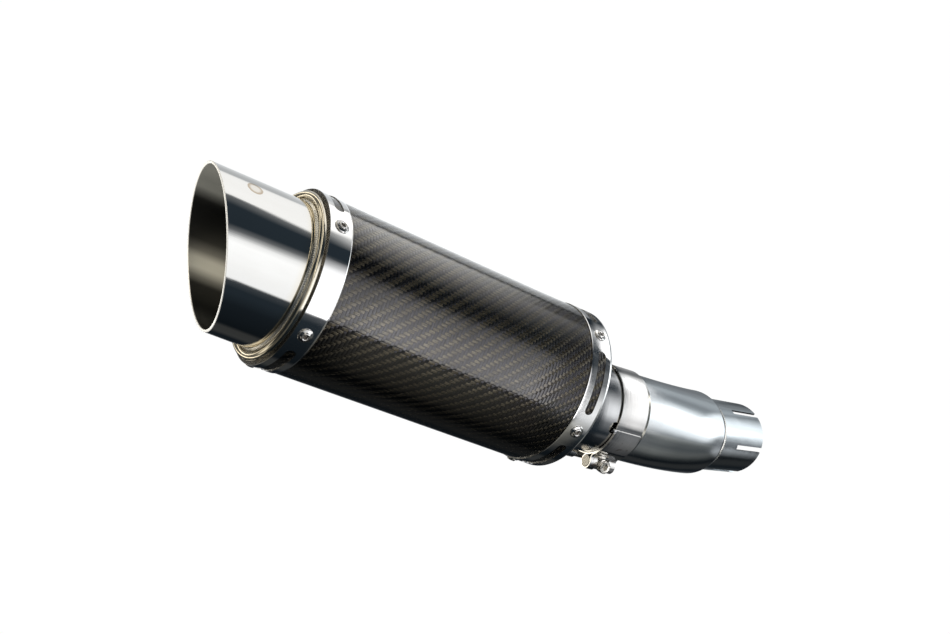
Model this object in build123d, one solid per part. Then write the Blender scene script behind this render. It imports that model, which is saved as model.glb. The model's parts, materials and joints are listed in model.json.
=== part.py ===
from build123d import *
import math
import os

# Slip-on motorcycle silencer: round carbon canister, slash-cut outlet, bent link pipe and band clamp.
# Millimetres. +X runs along the canister from the outlet to the inlet, +Z is the long side of the
# slash cut. The origin is on the canister's axis, midway between its two end bands.
# Angles round an axis are measured from +Z towards -Y.

# Canister
SLEEVE_R = 50.8             # 4 inch carbon tube
SLEEVE_WALL = 1.6
EXPOSED_LENGTH = 169.8      # carbon showing between the bands
REAR_BAND_WIDTH = 13.7
FRONT_BAND_WIDTH = 15.5
BAND_WALL = 0.5
FIT_GAP = 0.05              # gap between nested parts of the canister
SHEET = 1.2                 # thickness of the pressed end caps
CAP_SKIRT = 15.0            # how far a cap reaches into the sleeve
SLEEVE_INSET = 0.4          # from a band's outer edge to the sleeve's end

# Rivets and band slots
RIVETS = 5
REAR_RIVET_TURN = 36.0      # angle of the first rivet
FRONT_RIVET_TURN = 31.5
RIVET_HEAD_R = 4.2
RIVET_HEAD_HEIGHT = 1.9
RIVET_SHANK_R = 2.0
RIVET_HOLE_R = 2.1
RIVET_GRIP = 3.45           # band, sleeve and cap skirt together
RIVET_BULB_R = 3.0
RIVET_BULB_LENGTH = 2.4
RIVET_EDGE = 0.3            # height of the head's straight edge
DOME_R = 3.2                # a point on the head's dome
DOME_HEIGHT = 1.45
HEAD_MOUTH = 0.35           # countersink round the stem
BULB_BEVEL = 0.6
BULB_GAP = 0.1              # between the rivet's tail and the cap's skirt
STEM_R = 1.15
STEM_HOLE_R = 1.25
STEM_KNOB_R = 1.9
STEM_KNOB_LENGTH = 1.6
STEM_KNOB_BEVEL = 0.5
STEM_TOP = 0.85             # broken end, above the head's underside
STEM_TOP_R = 0.5
STEM_TAPER = 0.3
SLOT_SPAN = 45.0            # degrees from end to end
SLOT_WIDTH = 5.8

# Outlet
TIP_BASE_R = 43.0
TIP_MOUTH_R = 42.3
TIP_WALL = 1.4
SLASH_ANGLE = 20.2
RIM_RADIUS = 0.45           # rounding of the mouth's edges
MOUTH_CENTRE = 44.7         # from the canister's rear edge to the middle of the mouth
TIP_REACH = 64.0            # tube length before the slash cut
ROLL_R = 2.1                # outer radius of the rear cap's rolled ring
ROLL_SETBACK = 1.9          # from the rear edge to the middle of the roll
CAP_FACE = 1.4              # cap plate's height behind the rear edge
TIP_BEAD_LEG = 2.9
TIP_BEAD_FOOT = 1.83
TIP_CREST_ALONG = 0.72      # crest of the bead, in parts of its leg and its foot
TIP_CREST_OUT = 0.68

# Gas path inside
CORE_R = 22.9
CORE_WALL = 1.2
COLLAR_LENGTH = 9.4
CORE_INSET = 0.6            # from the rear edge to the core tube's end
CORE_SETBACK = 18.5         # from the front edge to its other end
CORE_HOLE_R = 1.8
CORE_PLAIN_REAR = 16.0      # plain lengths at its ends
CORE_PLAIN_FRONT = 14.0
CORE_RINGS = 18
CORE_HOLES_PER_RING = 12
WOOL_R = 25.2
PACKING_R = 47.5
PACKING_MARGIN = 11.5       # clear of the rivet tails
REDUCER_LENGTH = 7.0
REDUCER_LIP = 0.5           # the reducer's socket passes the core tube's end by this much
REDUCER_STEP = 0.2          # the reducer's large end is this much smaller than the stub
CAP_BEND_R = 3.0            # rounded corner of the front cap

# Slip joint: the stub's axis leaves the canister low and tilts up towards the inlet
SLIP_X = 233.8              # clamp's outlet-side edge, from the canister's rear edge
SLIP_Z = -3.55
SLIP_TILT = 4.75
STUB_R = 28.8
STUB_WALL = 1.4
STUB_BACK = 38.0
STUB_FRONT = 20.6
CAP_NECK = 24.5             # from the clamp's edge back to the end of the cap's cone
CONE_BASE_R = 43.5
KEYHOLE_R = 4.0
KEYHOLE_X = -0.8
KEYHOLE_TURN = 94.0
KEYHOLE_SLOTS = 4
KEYHOLE_SLOT_WIDTH = 3.0
STUB_BEAD_LEG = 2.2
STUB_CREST_ALONG = 1.5
STUB_CREST_OUT = 0.8

# Link pipe
PIPE_R = 28.8
PIPE_WALL = 1.4
SPIGOT_R = 27.1             # swaged end that turns inside the stub
SPIGOT_BACK = 18.0
SHOULDER_X = 21.4
SHOULDER_LENGTH = 2.0
SHOULDER_SHIFT = 0.5        # the shoulder's inner face lags its outer one
BEND_START = 35.0
BEND_LENGTH = 55.0
BEND_ANGLE = 18.7
NECK_LENGTH = 8.0
NECK_LAND = 1.4
COLLAR_R = 25.1
COLLAR_WALL = 1.4
SLOTTED_LENGTH = 54.2
COLLAR_SLOTS = 6
COLLAR_SLOT_TURN = 25.0
COLLAR_SLOT_WIDTH = 3.4
COLLAR_SLOT_LENGTH = 35.0
BEAD_RISE = 0.7
BEAD_HALF_WIDTH = 1.2

# Band clamp, drawn with its gap at -Z and then turned on the stub
CLAMP_WIDTH = 20.4
CLAMP_TURN = -5.0
CLAMP_IN_R = 29.47
CLAMP_WALL = 0.8
PLY_GAP = 0.02
TRUNNION_R = 4.0
TRUNNION_LENGTH = 20.8
TRUNNION_OFFSET = 12.0      # from the middle of the gap to each trunnion
TRUNNION_CHAMFER = 0.4
LOOP_CLEARANCE = 0.1
LOOP_HUG = 60.0             # how far a fold's end wraps round its trunnion, in degrees
TAIL_ANGLE = 80.0           # where the folded tail ends, from the middle of the gap
BLEND_R = 3.0
BRIDGE_IN_R = 29.05
BRIDGE_WALL = 0.4
BRIDGE_HALF_ANGLE = 42.0
BRIDGE_INSET = 1.0
BOLT_R = 2.5                # M5 socket cap screw
BOLT_CLEARANCE = 0.06
BOLT_HEAD_R = 4.25
BOLT_HEAD_HEIGHT = 5.0
BOLT_LENGTH = 35.0
BOLT_CHAMFER = 0.5
SOCKET_ACROSS_FLATS = 4.0
SOCKET_DEPTH = 2.6
HEAD_SEAT = 3.4             # flat on the plain trunnion, from its axis
SEAT_MARGIN = 0.5           # the flat is this much wider than the bolt's head
LOOP_SLOT_WIDTH = 9.4
LOOP_SLOT_DEPTH = 0.3       # the slot through the loops clears the bolt's head by this much

# Places worked out from the dimensions above
REAR = -EXPOSED_LENGTH / 2 - REAR_BAND_WIDTH
FRONT = EXPOSED_LENGTH / 2 + FRONT_BAND_WIDTH
BAND_IN_R = SLEEVE_R + FIT_GAP
BAND_OUT_R = BAND_IN_R + BAND_WALL
SLEEVE_IN_R = SLEEVE_R - SLEEVE_WALL
SKIRT_R = SLEEVE_IN_R - FIT_GAP
REAR_RIVET_X = REAR + REAR_BAND_WIDTH / 2
FRONT_RIVET_X = FRONT - FRONT_BAND_WIDTH / 2
SLIP = Pos(REAR + SLIP_X, 0, SLIP_Z) * Rot(0, -SLIP_TILT, 0)
CLAMP = SLIP * Rot(CLAMP_TURN, 0, 0)
CLAMP_OUT_R = CLAMP_IN_R + CLAMP_WALL
TRUNNION_RADIUS = CLAMP_OUT_R + LOOP_CLEARANCE + TRUNNION_R
TRUNNION_Z = -math.sqrt(TRUNNION_RADIUS**2 - TRUNNION_OFFSET**2)
BEND_RADIUS = BEND_LENGTH / math.radians(BEND_ANGLE)
BEND_END = Pos(
    BEND_START + BEND_RADIUS * math.sin(math.radians(BEND_ANGLE)),
    BEND_RADIUS * (1 - math.cos(math.radians(BEND_ANGLE))),
    0,
) * Rot(0, 0, BEND_ANGLE)
FAR = 200.0                 # longer than anything it cuts


def at(x, r):
    """Point of a turned outline: x along the axis, r from it."""
    return (x, 0, r)


def turned(outline):
    """Solid turned about the X axis from a closed outline."""
    return revolve(make_face(outline), Axis.X, 360)


def ring(x0, x1, inner, outer):
    """Plain tube about the X axis."""
    return turned(Polyline(at(x0, inner), at(x1, inner), at(x1, outer), at(x0, outer), close=True))


def spread(shape, count, first):
    """Copies of a shape, evenly spaced round the X axis."""
    return [Rot(first + i * 360 / count, 0, 0) * shape for i in range(count)]


def radial_hole(x, radius, turn):
    """Cutter along a radius of the X axis."""
    cutter = Cylinder(radius, FAR, align=(Align.CENTER, Align.CENTER, Align.MIN))
    return Rot(turn, 0, 0) * Pos(x, 0, 0) * cutter


def rivet_holes(x, first):
    return [radial_hole(x, RIVET_HOLE_R, first + i * 360 / RIVETS) for i in range(RIVETS)]


def band_slot(x, turn):
    """Cutter for one long slot with round ends, bent round the band."""
    half = SLOT_WIDTH / 2
    end = math.degrees(half / BAND_OUT_R)
    sweep = SLOT_SPAN - 2 * end
    low, high = BAND_IN_R - 1, BAND_OUT_R + 1
    corners = [at(x - half, low), at(x + half, low), at(x + half, high), at(x - half, high)]
    outline = Polyline(*corners, close=True)
    middle = revolve(Rot(turn - sweep / 2, 0, 0) * make_face(outline), Axis.X, sweep)
    return middle + radial_hole(x, half, turn - sweep / 2) + radial_hole(x, half, turn + sweep / 2)


def band(x0, x1, first, slots):
    """End band with its rivet holes and long slots."""
    x = (x0 + x1) / 2
    body = ring(x0, x1, BAND_IN_R, BAND_OUT_R)
    body = body - rivet_holes(x, first)
    step = 360 / RIVETS
    return body - [band_slot(x, first + (i + 0.5) * step) for i in slots]


def rear_band():
    """The section between the first two rivets is plain, so it has no slot."""
    return band(REAR, REAR + REAR_BAND_WIDTH, REAR_RIVET_TURN, range(1, RIVETS))


def front_band():
    return band(FRONT - FRONT_BAND_WIDTH, FRONT, FRONT_RIVET_TURN, range(RIVETS))


def carbon_sleeve():
    tube = ring(REAR + SLEEVE_INSET, FRONT - SLEEVE_INSET, SLEEVE_IN_R, SLEEVE_R)
    tube = tube - rivet_holes(REAR_RIVET_X, REAR_RIVET_TURN)
    return tube - rivet_holes(FRONT_RIVET_X, FRONT_RIVET_TURN)


def rivet():
    """One blind rivet with its head's underside at z = 0 and a hole for its stem."""
    tail = -RIVET_GRIP - RIVET_BULB_LENGTH
    mouth = STEM_HOLE_R + HEAD_MOUTH
    edge = at(RIVET_HEAD_R, RIVET_EDGE)
    outline = (
        Line(at(RIVET_HEAD_R, 0), edge)
        + ThreePointArc(edge, at(DOME_R, DOME_HEIGHT), at(mouth, RIVET_HEAD_HEIGHT))
        + Polyline(
            at(mouth, RIVET_HEAD_HEIGHT),
            at(STEM_HOLE_R, RIVET_HEAD_HEIGHT - HEAD_MOUTH),
            at(STEM_HOLE_R, tail),
            at(RIVET_BULB_R - BULB_BEVEL, tail),
            at(RIVET_BULB_R, tail + BULB_BEVEL),
            at(RIVET_BULB_R, -RIVET_GRIP - BULB_GAP),
            at(RIVET_SHANK_R, -RIVET_GRIP - BULB_GAP),
            at(RIVET_SHANK_R, 0),
            at(RIVET_HEAD_R, 0),
        )
    )
    return revolve(make_face(outline), Axis.Z, 360)


def rivet_stem():
    """Broken stem left in a set rivet, with its swollen head at the blind end."""
    tail = -RIVET_GRIP - RIVET_BULB_LENGTH - FIT_GAP
    end = tail - STEM_KNOB_LENGTH
    outline = Polyline(
        at(0, end),
        at(STEM_KNOB_R - STEM_KNOB_BEVEL, end),
        at(STEM_KNOB_R, end + STEM_KNOB_BEVEL),
        at(STEM_KNOB_R, tail),
        at(STEM_R, tail),
        at(STEM_R, STEM_TOP - STEM_TAPER),
        at(STEM_TOP_R, STEM_TOP),
        at(0, STEM_TOP),
        close=True,
    )
    return revolve(make_face(outline), Axis.Z, 360)


def rivet_group(shape, x, first):
    """The rivets, or their stems, of one band."""
    placed = Pos(x, 0, BAND_OUT_R + FIT_GAP / 2) * shape
    return Compound(children=spread(placed, RIVETS, first))


def outlet_tip():
    """Slash-cut tube, a little narrower at its mouth."""
    base = REAR - CAP_FACE - FIT_GAP
    mouth = REAR - TIP_REACH
    tube = turned(
        Polyline(
            at(base, TIP_BASE_R),
            at(mouth, TIP_MOUTH_R),
            at(mouth, TIP_MOUTH_R - TIP_WALL),
            at(base, TIP_BASE_R - TIP_WALL),
            close=True,
        )
    )
    offcut = Box(FAR, FAR, FAR, align=(Align.MAX, Align.CENTER, Align.CENTER))
    tube = tube - Pos(REAR - MOUTH_CENTRE, 0, 0) * Rot(0, -SLASH_ANGLE, 0) * offcut
    rim = [edge for edge in tube.edges() if edge.center().X < base - TIP_BEAD_LEG]
    return fillet(rim, RIM_RADIUS)


def tip_weld_bead():
    foot = REAR - CAP_FACE - FIT_GAP / 2
    inner = TIP_BASE_R + FIT_GAP / 2
    corner, toe, top = at(foot, inner), at(foot - TIP_BEAD_LEG, inner), at(foot, inner + TIP_BEAD_FOOT)
    crest = at(foot - TIP_CREST_ALONG * TIP_BEAD_LEG, inner + TIP_CREST_OUT * TIP_BEAD_FOOT)
    return turned(Line(corner, toe) + ThreePointArc(toe, crest, top) + Line(top, corner))


def rear_cap():
    """Pressed dish: skirt, rolled ring, flat plate and a short inward collar for the core tube."""
    roll_x = REAR - ROLL_SETBACK
    mid = SKIRT_R - ROLL_R
    inner_roll = ROLL_R - SHEET
    face = REAR - CAP_FACE
    bore = CORE_R + 2 * FIT_GAP
    lip = REAR + CAP_SKIRT
    low, high = at(roll_x, mid - inner_roll), at(roll_x, mid + inner_roll)
    outline = (
        Line(at(lip, SKIRT_R), at(roll_x, SKIRT_R))
        + ThreePointArc(at(roll_x, SKIRT_R), at(roll_x - ROLL_R, mid), at(roll_x, mid - ROLL_R))
        + Polyline(
            at(roll_x, mid - ROLL_R),
            at(face, mid - ROLL_R),
            at(face, bore),
            at(face + COLLAR_LENGTH, bore),
            at(face + COLLAR_LENGTH, bore + SHEET),
            at(face + SHEET, bore + SHEET),
            at(face + SHEET, mid - inner_roll),
            low,
        )
        + ThreePointArc(low, at(roll_x - inner_roll, mid), high)
        + Polyline(high, at(lip, SKIRT_R - SHEET), at(lip, SKIRT_R))
    )
    return turned(outline) - rivet_holes(REAR_RIVET_X, REAR_RIVET_TURN)


def disc(place, radius):
    """Flat round face with its normal along the placed frame's X axis."""
    return place * Rot(0, 90, 0) * Circle(radius)


def tapered_shell(start, start_r, end, end_r, wall):
    """Thin cone between two round ends that need not face the same way."""
    outer = loft([disc(start, start_r), disc(end, end_r)])
    inner = loft([disc(start, start_r - wall), disc(end, end_r - wall)])
    return outer - inner


def front_cap():
    """Pressed cap whose cone leads to the low, tilted inlet stub."""
    face = FRONT - SLEEVE_INSET
    hub = CONE_BASE_R - SHEET
    turn_x = face - CAP_BEND_R
    corner = SKIRT_R - CAP_BEND_R
    outer = CAP_BEND_R * math.sqrt(0.5)
    inner = (CAP_BEND_R - SHEET) * math.sqrt(0.5)
    lip = FRONT - CAP_SKIRT
    inside = at(turn_x, SKIRT_R - SHEET)
    dish = turned(
        Line(at(lip, SKIRT_R), at(turn_x, SKIRT_R))
        + ThreePointArc(at(turn_x, SKIRT_R), at(turn_x + outer, corner + outer), at(face, corner))
        + Polyline(at(face, corner), at(face, hub), at(face - SHEET, hub), at(face - SHEET, corner))
        + ThreePointArc(at(face - SHEET, corner), at(turn_x + inner, corner + inner), inside)
        + Polyline(inside, at(lip, SKIRT_R - SHEET), at(lip, SKIRT_R))
    )
    neck = SLIP * Pos(-CAP_NECK, 0, 0)
    cone = tapered_shell(Pos(face - SHEET, 0, 0), CONE_BASE_R, neck, STUB_R + SHEET + FIT_GAP, SHEET)
    return dish + cone - rivet_holes(FRONT_RIVET_X, FRONT_RIVET_TURN)


def inlet_stub():
    """Tilted inlet tube with keyhole slots that let the clamp squeeze it."""
    tube = ring(-STUB_BACK, STUB_FRONT, STUB_R - STUB_WALL, STUB_R)
    saw = Box(FAR, KEYHOLE_SLOT_WIDTH, FAR, align=(Align.MIN, Align.CENTER, Align.MIN))
    keyhole = radial_hole(KEYHOLE_X, KEYHOLE_R, 0) + Pos(KEYHOLE_X, 0, 0) * saw
    return SLIP * (tube - spread(keyhole, KEYHOLE_SLOTS, KEYHOLE_TURN))


def stub_weld_bead():
    foot = -CAP_NECK + FIT_GAP / 2
    inner = STUB_R + FIT_GAP / 2
    corner, toe, top = at(foot, inner), at(foot + STUB_BEAD_LEG, inner), at(foot, inner + SHEET)
    crest = at(foot + STUB_CREST_ALONG, inner + STUB_CREST_OUT)
    outline = Line(corner, toe) + ThreePointArc(toe, crest, top) + Line(top, corner)
    return SLIP * turned(outline)


def core_end():
    """Where the core tube stops, inside the reducer."""
    return FRONT - CORE_SETBACK


def inlet_reducer():
    """Socket for the core tube and the cone that opens from it to the stub."""
    bore = CORE_R + 2 * FIT_GAP
    start = core_end() + REDUCER_LIP
    socket = ring(start - REDUCER_LENGTH, start, bore, bore + SHEET)
    stub_end = SLIP * Pos(-STUB_BACK - FIT_GAP, 0, 0)
    return socket + tapered_shell(Pos(start, 0, 0), bore + SHEET, stub_end, STUB_R - REDUCER_STEP, SHEET)


def core_tube():
    """Perforated straight-through core."""
    tube = ring(REAR + CORE_INSET, core_end(), CORE_R - CORE_WALL, CORE_R)
    first_ring = REAR + CORE_PLAIN_REAR
    pitch = (core_end() - CORE_PLAIN_FRONT - first_ring) / (CORE_RINGS - 1)
    drill = Cylinder(CORE_HOLE_R, FAR, align=(Align.CENTER, Align.CENTER, Align.MIN))
    holes = []
    for i in range(CORE_RINGS):
        stagger = (i % 2) * 180 / CORE_HOLES_PER_RING
        holes += spread(Pos(first_ring + i * pitch, 0, 0) * drill, CORE_HOLES_PER_RING, stagger)
    return tube - holes


def steel_wool_wrap():
    return ring(REAR + PACKING_MARGIN, core_end() - REDUCER_LENGTH - 1, CORE_R + FIT_GAP, WOOL_R)


def glass_packing():
    return ring(REAR + PACKING_MARGIN, core_end() - REDUCER_LENGTH, WOOL_R + FIT_GAP, PACKING_R)


def link_spigot():
    """Straight end of the link pipe: the swaged spigot that turns inside the stub, and its shoulder."""
    bore = SPIGOT_R - PIPE_WALL
    shoulder_end = SHOULDER_X + SHOULDER_LENGTH
    outline = Polyline(
        at(-SPIGOT_BACK, SPIGOT_R),
        at(SHOULDER_X, SPIGOT_R),
        at(shoulder_end, PIPE_R),
        at(BEND_START, PIPE_R),
        at(BEND_START, PIPE_R - PIPE_WALL),
        at(shoulder_end + SHOULDER_SHIFT, PIPE_R - PIPE_WALL),
        at(SHOULDER_X + SHOULDER_SHIFT, bore),
        at(-SPIGOT_BACK, bore),
        close=True,
    )
    return SLIP * turned(outline)


def link_bend():
    """Gently bent middle of the link pipe."""
    start = Pos(BEND_START, 0, 0)
    section = disc(start, PIPE_R) - disc(start, PIPE_R - PIPE_WALL)
    bend_axis = Axis((BEND_START, BEND_RADIUS, 0), (0, 0, 1))
    return SLIP * revolve(section, bend_axis, BEND_ANGLE)


def link_neck():
    """Smooth step down from the link pipe to the slotted collar."""
    along = (1, 0, 0)
    end = NECK_LENGTH + NECK_LAND
    wide, narrow = at(0, PIPE_R), at(NECK_LENGTH, COLLAR_R)
    wide_in, narrow_in = at(0, PIPE_R - PIPE_WALL), at(NECK_LENGTH, COLLAR_R - COLLAR_WALL)
    outline = (
        Spline(wide, narrow, tangents=[along, along])
        + Polyline(narrow, at(end, COLLAR_R), at(end, COLLAR_R - COLLAR_WALL), narrow_in)
        + Spline(wide_in, narrow_in, tangents=[along, along])
        + Line(wide_in, wide)
    )
    return SLIP * BEND_END * turned(outline)


def collar_start():
    return NECK_LENGTH + NECK_LAND + FIT_GAP


def slotted_collar():
    """Round collar that the bike's own pipe slips into."""
    x0 = collar_start()
    x1 = x0 + SLOTTED_LENGTH
    tube = ring(x0, x1, COLLAR_R - COLLAR_WALL, COLLAR_R)
    saw = Box(FAR, COLLAR_SLOT_WIDTH, FAR, align=(Align.MIN, Align.CENTER, Align.MIN))
    tube = tube - spread(Pos(x1 - COLLAR_SLOT_LENGTH, 0, 0) * saw, COLLAR_SLOTS, COLLAR_SLOT_TURN)
    return SLIP * BEND_END * tube


def collar_weld_bead():
    x = collar_start() - FIT_GAP / 2
    inner = COLLAR_R + FIT_GAP / 2
    left, right = at(x - BEAD_HALF_WIDTH, inner), at(x + BEAD_HALF_WIDTH, inner)
    outline = Line(left, right) + ThreePointArc(right, at(x, inner + BEAD_RISE), left)
    return SLIP * BEND_END * turned(outline)


def wedge(angle0, angle1):
    """Pie slice of the YZ plane between two directions measured from -Z towards -Y."""
    corners = [(0, 0)]
    for angle in (angle0, (angle0 + angle1) / 2, angle1):
        turn = math.radians(angle)
        corners.append((-FAR * math.sin(turn), -FAR * math.cos(turn)))
    return make_face(Polyline(*corners, close=True))


def bumped_disc(radius, bump_r, centre, blend):
    """Round disc joined to a small round bump at its edge by two smooth blends."""
    shape = Circle(radius) + Pos(*centre) * Circle(bump_r)
    return fillet(shape.vertices(), blend)


def fold():
    """Section of one folded end: the tail outside the band and the loop round the trunnion."""
    centre = (-TRUNNION_OFFSET, TRUNNION_Z)
    loop_in = TRUNNION_R + LOOP_CLEARANCE
    loop_out = loop_in + CLAMP_WALL
    tail_in = CLAMP_OUT_R + PLY_GAP
    here = math.degrees(math.atan2(TRUNNION_OFFSET, -TRUNNION_Z))
    outer = bumped_disc(tail_in + CLAMP_WALL, loop_out, centre, BLEND_R)
    inner = bumped_disc(tail_in, loop_in, centre, BLEND_R + CLAMP_WALL)
    tail = (outer - inner) & wedge(here, TAIL_ANGLE)
    loop = Pos(*centre) * (Circle(loop_out) - Circle(loop_in))
    return tail + (loop & wedge(here - LOOP_HUG, here))


def clamp_band():
    """Steel band whose two ends fold back round the trunnions."""
    here = math.degrees(math.atan2(TRUNNION_OFFSET, -TRUNNION_Z))
    hoop = Circle(CLAMP_OUT_R) - Circle(CLAMP_IN_R) - wedge(-here, 0) - wedge(0, here)
    section = hoop + fold() + mirror(fold(), Plane.YZ)
    body = extrude(Plane.YZ * section, CLAMP_WIDTH)
    window = Box(LOOP_SLOT_WIDTH, FAR, FAR, align=(Align.CENTER, Align.CENTER, Align.MAX))
    cut = Pos(CLAMP_WIDTH / 2, 0, TRUNNION_Z + BOLT_HEAD_R + LOOP_SLOT_DEPTH) * window
    return CLAMP * (body - cut)


def clamp_bridge():
    """Thin tongue inside the band that closes its gap."""
    section = Circle(BRIDGE_IN_R + BRIDGE_WALL) - Circle(BRIDGE_IN_R)
    section = section & (wedge(-BRIDGE_HALF_ANGLE, 0) + wedge(0, BRIDGE_HALF_ANGLE))
    tongue = extrude(Plane.YZ * section, CLAMP_WIDTH - 2 * BRIDGE_INSET)
    return CLAMP * Pos(BRIDGE_INSET, 0, 0) * tongue


def bolt_line():
    """Frame at the plain trunnion's centre with Z along the bolt, towards the threaded trunnion."""
    return Pos(CLAMP_WIDTH / 2, -TRUNNION_OFFSET, TRUNNION_Z) * Rot(-90, 0, 0)


def trunnion(side):
    """Round cross-pin on one side of the gap, drilled for the bolt."""
    pin = Cylinder(TRUNNION_R, TRUNNION_LENGTH, rotation=(0, 90, 0))
    pin = chamfer(pin.edges().filter_by(GeomType.CIRCLE), TRUNNION_CHAMFER)
    hole = Cylinder(BOLT_R + BOLT_CLEARANCE, FAR, rotation=(90, 0, 0))
    return Pos(CLAMP_WIDTH / 2, side * TRUNNION_OFFSET, TRUNNION_Z) * (pin - hole)


def clamp_trunnion_plain():
    """The bolt's head rests on a flat milled across this one."""
    seat = Box(BOLT_HEAD_R * 2 + SEAT_MARGIN, FAR, FAR, align=(Align.CENTER, Align.MAX, Align.CENTER))
    flat = Pos(CLAMP_WIDTH / 2, -TRUNNION_OFFSET - HEAD_SEAT, TRUNNION_Z) * seat
    return CLAMP * (trunnion(-1) - flat)


def clamp_trunnion_threaded():
    return CLAMP * trunnion(1)


def clamp_bolt():
    """Socket cap screw through both trunnions."""
    head = Cylinder(BOLT_HEAD_R, BOLT_HEAD_HEIGHT, align=(Align.CENTER, Align.CENTER, Align.MAX))
    head = chamfer(head.edges().group_by(Axis.Z)[0], BOLT_CHAMFER)
    shank = Cylinder(BOLT_R, BOLT_LENGTH, align=(Align.CENTER, Align.CENTER, Align.MIN))
    shank = chamfer(shank.edges().group_by(Axis.Z)[-1], BOLT_CHAMFER)
    hexagon = RegularPolygon(SOCKET_ACROSS_FLATS / 2, 6, major_radius=False)
    socket = Pos(0, 0, -BOLT_HEAD_HEIGHT) * extrude(hexagon, SOCKET_DEPTH)
    return CLAMP * bolt_line() * Pos(0, 0, -HEAD_SEAT - FIT_GAP) * (head + shank - socket)


NODES = {
    "outlet_tip": outlet_tip(),
    "tip_weld_bead": tip_weld_bead(),
    "rear_cap": rear_cap(),
    "rear_band": rear_band(),
    "rear_rivets": rivet_group(rivet(), REAR_RIVET_X, REAR_RIVET_TURN),
    "rear_rivet_stems": rivet_group(rivet_stem(), REAR_RIVET_X, REAR_RIVET_TURN),
    "carbon_sleeve": carbon_sleeve(),
    "front_band": front_band(),
    "front_rivets": rivet_group(rivet(), FRONT_RIVET_X, FRONT_RIVET_TURN),
    "front_rivet_stems": rivet_group(rivet_stem(), FRONT_RIVET_X, FRONT_RIVET_TURN),
    "front_cap": front_cap(),
    "inlet_stub": inlet_stub(),
    "stub_weld_bead": stub_weld_bead(),
    "inlet_reducer": inlet_reducer(),
    "core_tube": core_tube(),
    "steel_wool_wrap": steel_wool_wrap(),
    "glass_packing": glass_packing(),
    "link_spigot": link_spigot(),
    "link_bend": link_bend(),
    "link_neck": link_neck(),
    "collar_weld_bead": collar_weld_bead(),
    "slotted_collar": slotted_collar(),
    "clamp_band": clamp_band(),
    "clamp_bridge": clamp_bridge(),
    "clamp_trunnion_plain": clamp_trunnion_plain(),
    "clamp_trunnion_threaded": clamp_trunnion_threaded(),
    "clamp_bolt": clamp_bolt(),
}

os.makedirs("parts", exist_ok=True)
for name, shape in NODES.items():
    export_step(shape, f"parts/{name}.step")
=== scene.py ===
"""Looks of a slip-on motorcycle silencer: outlet, carbon sleeve, riveted bands, clamp and link pipe."""

import json
import math

import bmesh
import bpy
from mathutils import Matrix, Vector


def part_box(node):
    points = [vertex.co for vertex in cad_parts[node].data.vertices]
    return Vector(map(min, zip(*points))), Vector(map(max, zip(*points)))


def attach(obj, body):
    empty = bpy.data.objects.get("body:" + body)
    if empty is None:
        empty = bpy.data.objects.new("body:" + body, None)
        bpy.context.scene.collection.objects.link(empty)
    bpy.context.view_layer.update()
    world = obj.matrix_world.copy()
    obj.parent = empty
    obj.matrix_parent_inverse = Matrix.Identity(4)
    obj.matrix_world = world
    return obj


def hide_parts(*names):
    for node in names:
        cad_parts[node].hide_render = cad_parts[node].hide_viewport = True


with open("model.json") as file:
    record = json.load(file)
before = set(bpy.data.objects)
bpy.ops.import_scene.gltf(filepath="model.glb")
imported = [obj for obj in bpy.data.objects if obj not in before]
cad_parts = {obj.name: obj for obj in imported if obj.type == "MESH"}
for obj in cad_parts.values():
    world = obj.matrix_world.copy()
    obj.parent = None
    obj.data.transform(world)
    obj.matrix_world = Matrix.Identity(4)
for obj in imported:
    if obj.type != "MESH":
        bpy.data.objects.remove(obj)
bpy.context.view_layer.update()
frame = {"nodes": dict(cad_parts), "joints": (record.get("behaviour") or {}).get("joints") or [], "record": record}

MM = 0.001


# Places read from the frame
JOINTS = {joint["name"]: joint for joint in frame["joints"]}
MOUNTS = {mount["name"]: mount for mount in frame["record"]["mounts"]}
SLIP_ORIGIN = Vector(JOINTS["link_swivel"]["pos_m"])
SLIP_AXIS = Vector(JOINTS["link_swivel"]["axis"]).normalized()
COLLAR_ORIGIN = Vector(MOUNTS["inlet_collar"]["pos_m"])
COLLAR_AXIS = Vector(MOUNTS["inlet_collar"]["axis"]).normalized()
BOLT_ORIGIN = Vector(JOINTS["bolt_turn"]["pos_m"])
BOLT_AXIS = Vector(JOINTS["bolt_turn"]["axis"]).normalized()
FRONT_INNER_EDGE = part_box("front_band")[0].x
FRONT_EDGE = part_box("front_band")[1].x
REAR_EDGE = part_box("rear_band")[0].x
TIP_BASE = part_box("outlet_tip")[1].x
TIP_OUTER_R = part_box("outlet_tip")[1].y


def axis_frame(origin, axis):
    """Frame with its X along an axis and its Y level."""
    x = axis.normalized()
    y = Vector((0, 0, 1)).cross(x).normalized()
    z = x.cross(y)
    return Matrix.Translation(origin) @ Matrix((x, y, z)).transposed().to_4x4()


SLIP = axis_frame(SLIP_ORIGIN, SLIP_AXIS)
COLLAR = axis_frame(COLLAR_ORIGIN, COLLAR_AXIS)
CANISTER = Matrix.Identity(4)


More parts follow.
